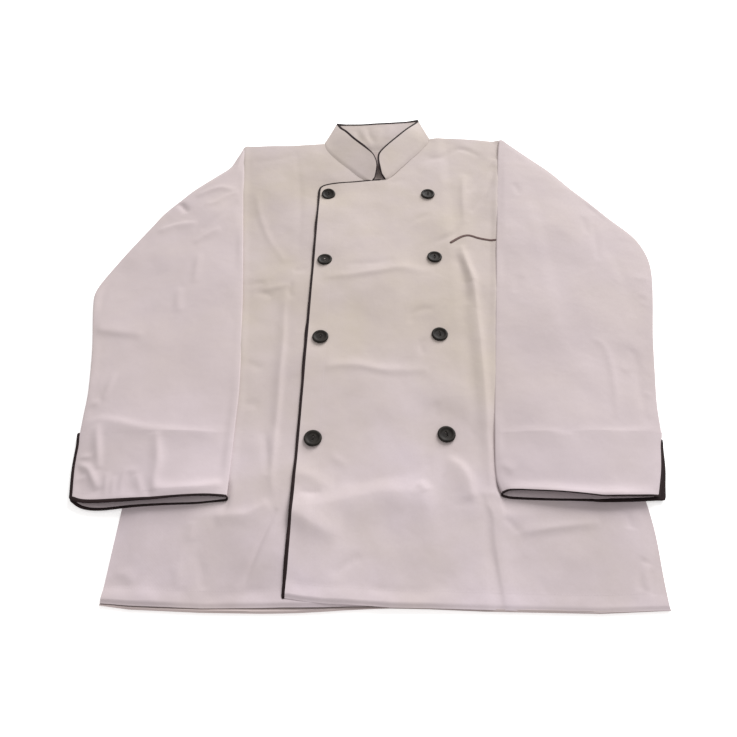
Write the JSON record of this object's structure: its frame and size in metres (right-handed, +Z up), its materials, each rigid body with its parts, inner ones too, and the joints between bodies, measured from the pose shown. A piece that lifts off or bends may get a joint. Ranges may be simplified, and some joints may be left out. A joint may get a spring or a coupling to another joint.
{
  "type": "chef jacket laid flat",
  "caption": "Double-breasted chef jacket with a stand collar, black piped edges and long sleeves folded forward, laid flat with its front up.",
  "frame": {"origin": "middle of the jacket's box in plan, on the surface that it lies on", "axes": "+Z up out of the front, +Y from the hem towards the collar, +X towards the wearer's left sleeve"},
  "size_m": [0.7706, 0.7998, 0.0151],
  "materials": {
    "cloth": "washed off-white cotton twill with a faint lilac cast and a slight sheen",
    "cloth_inside": "inside face of the same twill, matte",
    "piping": "black folded cotton edging",
    "button": "dark charcoal moulded plastic with a raised rim"
  },
  "bodies": {
    "root": {"back_panel": "cloth_inside", "front_right_under": "cloth", "front_left_over": "cloth", "front_edge_piping": "piping", "pocket_patch": "cloth", "pocket_piping": "piping", "collar_right": "cloth", "collar_left": "cloth", "collar_back": "cloth_inside", "collar_right_piping": "piping", "collar_left_piping": "piping", "collar_back_piping": "piping", "sleeve_right_upper": "cloth", "sleeve_right_under": "cloth", "sleeve_left_upper": "cloth", "sleeve_left_under": "cloth", "cuff_right_upper": "cloth", "cuff_right_under": "cloth", "cuff_left_upper": "cloth", "cuff_left_under": "cloth", "cuff_right_upper_binding": "piping", "cuff_right_under_binding": "piping", "cuff_left_upper_binding": "piping", "cuff_left_under_binding": "piping", "button_r1_right": "button", "button_r1_left": "button", "button_r2_right": "button", "button_r2_left": "button", "button_r3_right": "button", "button_r3_left": "button", "button_r4_right": "button", "button_r4_left": "button"}
  },
  "joints": []
}
